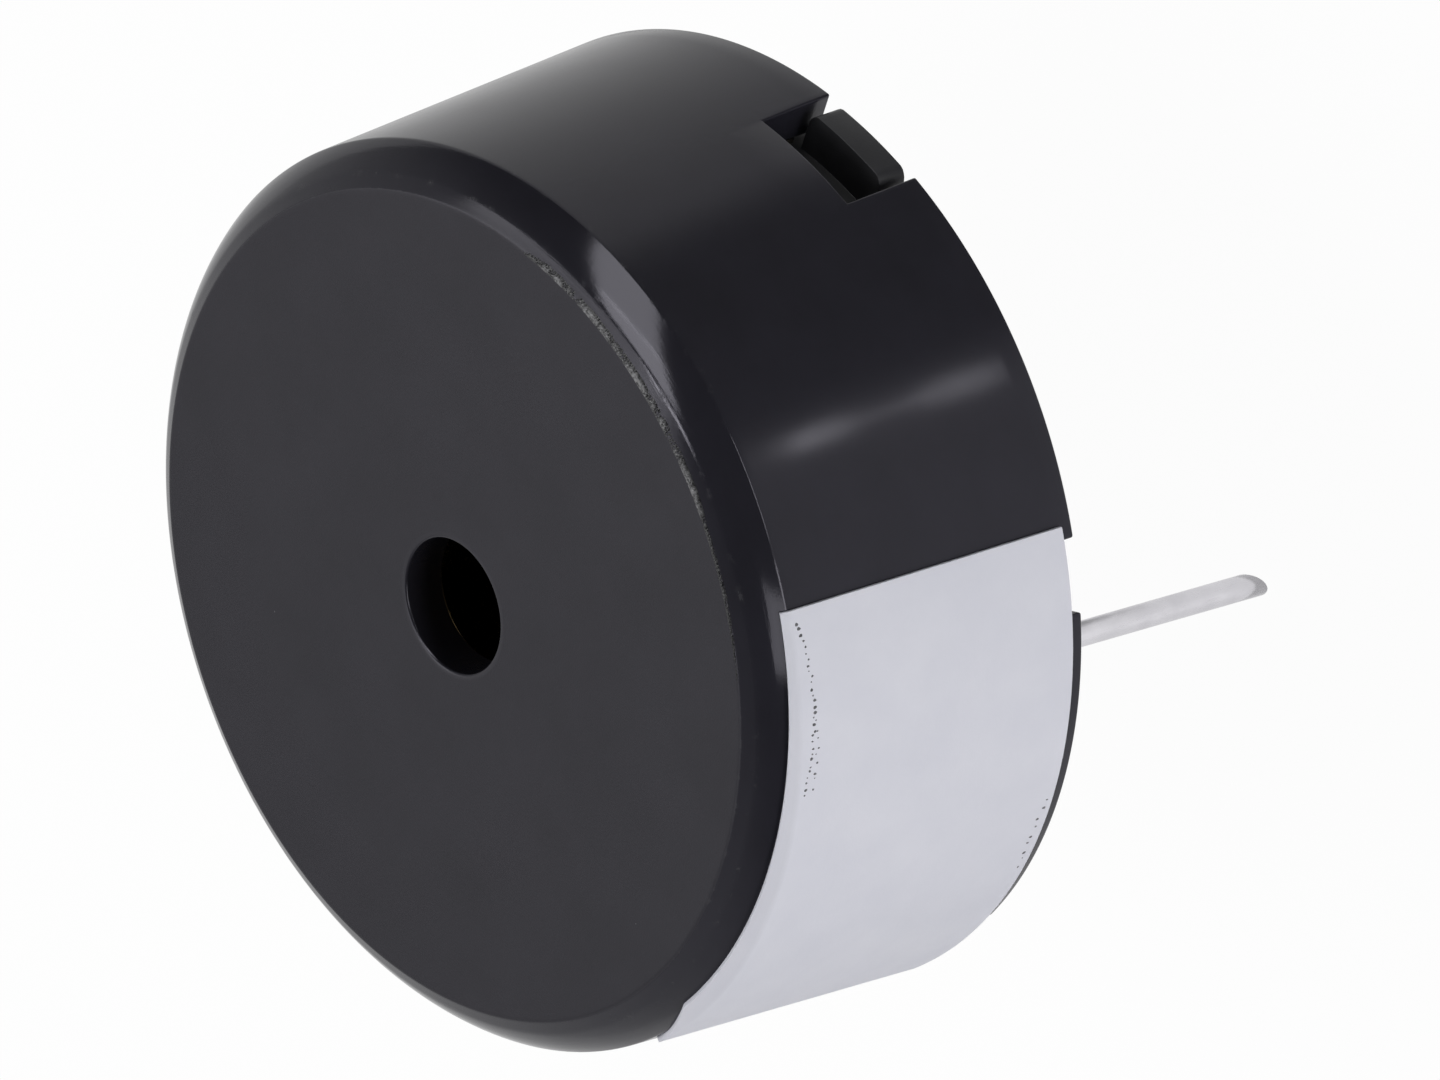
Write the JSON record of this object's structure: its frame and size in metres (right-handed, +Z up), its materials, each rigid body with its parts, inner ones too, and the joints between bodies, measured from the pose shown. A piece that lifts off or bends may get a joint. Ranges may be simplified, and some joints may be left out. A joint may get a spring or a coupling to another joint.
{
  "type": "piezo buzzer",
  "caption": "Round pin-type piezo buzzer: a black moulded cap with a sound hole over a glued brass and ceramic sounder, closed by a base plate with board pins.",
  "frame": {"origin": "centre of the plane on which the rim and the base plate sit on a board", "axes": "+Z up along the body's axis towards the sound hole, pins down along -Z; the pins lie on the Y axis, the label faces -Y and an ear of the base faces +X"},
  "size_m": [0.0169, 0.0171, 0.0142],
  "materials": {
    "housing": "satin moulded thermoplastic, flat face finely matt",
    "base": "moulded thermoplastic",
    "base_seal": "dark epoxy",
    "brass_plate": "bright rolled brass",
    "ceramic_disc": "fired piezoceramic",
    "silver_electrode": "fired silver paste",
    "sounder_adhesive": "white silicone",
    "pins": "tinned copper-clad steel wire",
    "solder": "soft solder",
    "ceramic_lead": "red enamelled copper wire",
    "plate_lead": "dark enamelled copper wire",
    "label": "white paper, unprinted"
  },
  "bodies": {
    "root": {"housing": "housing", "base": "base", "base_seal": "base_seal", "brass_plate": "brass_plate", "ceramic_disc": "ceramic_disc", "silver_electrode": "silver_electrode", "sounder_adhesive": "sounder_adhesive", "pin_a": "pins", "pin_b": "pins", "pin_a_solder": "solder", "pin_b_solder": "solder", "ceramic_lead": "ceramic_lead", "plate_lead": "plate_lead", "ceramic_solder": "solder", "plate_solder": "solder", "label": "label"}
  },
  "joints": []
}
